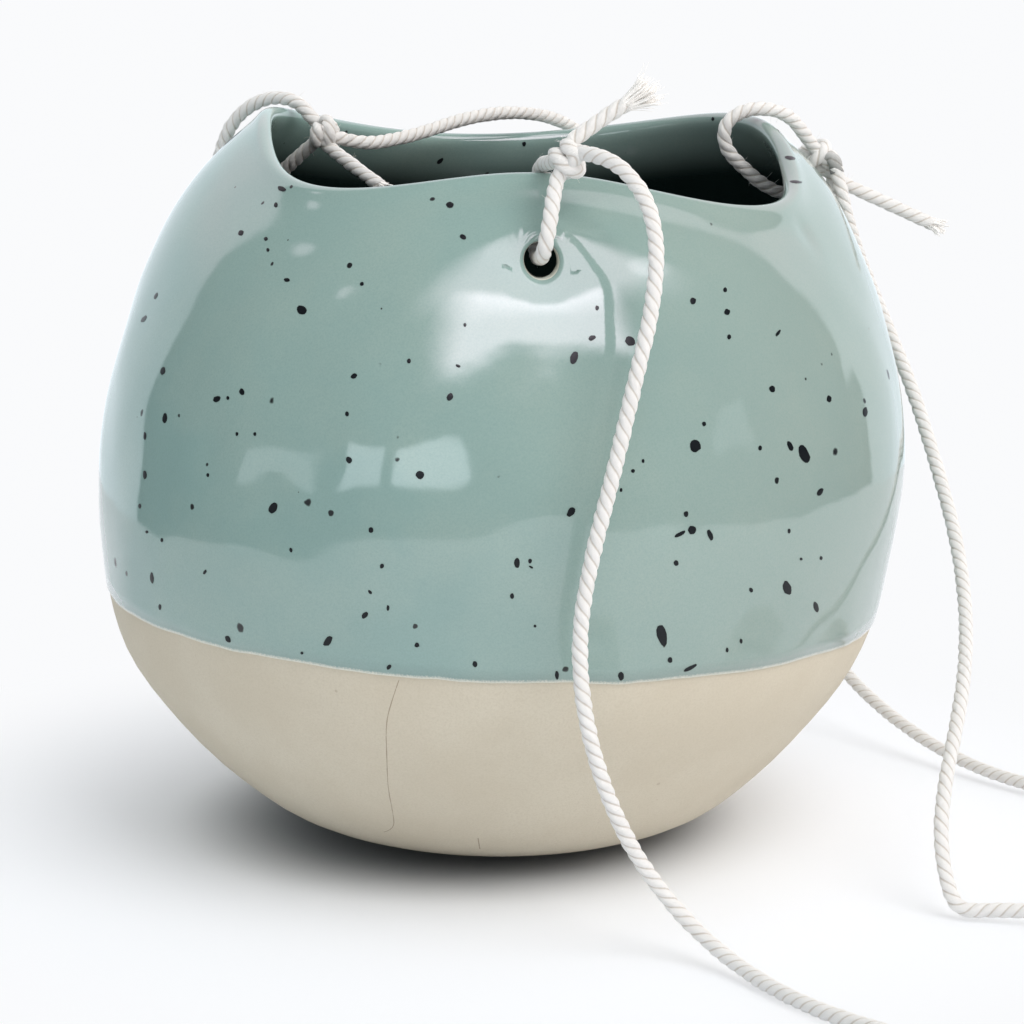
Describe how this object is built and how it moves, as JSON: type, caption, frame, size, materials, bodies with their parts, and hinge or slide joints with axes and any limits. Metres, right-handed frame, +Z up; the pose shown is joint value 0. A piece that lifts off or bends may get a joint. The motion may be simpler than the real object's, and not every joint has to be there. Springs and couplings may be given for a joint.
{
  "type": "hanging planter",
  "caption": "Hanging planter: a round stoneware bowl, glazed above and bare below, with a wavy rim and twisted cotton cords looped through holes near the rim.",
  "frame": {"origin": "centre of the flat underside", "axes": "+Z up, -Y towards the side with the front cord, +X to the right seen from there"},
  "size_m": [0.2671, 0.2966, 0.1729],
  "materials": {
    "clay": "matte bare stoneware",
    "glaze": "glossy sage green glaze with black iron speckles",
    "cotton": "off-white three-strand twisted cotton",
    "tie": "plain off-white cotton tape"
  },
  "bodies": {
    "pot": {"clay_body": "clay", "glaze_coat": "glaze", "front_cord_run": "cotton", "front_cord_coil": "cotton", "front_coil_tie": "tie", "left_cord_run": "cotton", "left_cord_coil": "cotton", "left_coil_tie": "tie", "right_cord_run": "cotton", "right_cord_coil": "cotton", "right_coil_tie": "tie"},
    "front_tie": {"front_cord_loop": "cotton", "front_cord_knot": "cotton", "front_cord_tail": "cotton"},
    "left_tie": {"left_cord_loop": "cotton", "left_cord_knot": "cotton", "left_cord_tail": "cotton"},
    "right_tie": {"right_cord_loop": "cotton", "right_cord_knot": "cotton", "right_cord_tail": "cotton"}
  },
  "joints": [
    {"name": "front_tie_swing", "type": "hinge", "parent": "pot", "child": "front_tie", "pos_m": [0.00816, -0.07297, 0.138], "axis": [0.0819, -0.9966, 0], "range_deg": [-4, 12], "deforming": ["front_cord_run"]},
    {"name": "left_tie_swing", "type": "hinge", "parent": "pot", "child": "left_tie", "pos_m": [-0.06123, 0.03371, 0.14453], "axis": [-0.8829, 0.4695, 0], "range_deg": [0, 12], "deforming": ["left_cord_run"]},
    {"name": "right_tie_swing", "type": "hinge", "parent": "pot", "child": "right_tie", "pos_m": [0.0719, 0.02538, 0.14276], "axis": [0.9397, 0.342, 0], "range_deg": [-6, 12], "deforming": ["right_cord_run"]}
  ]
}
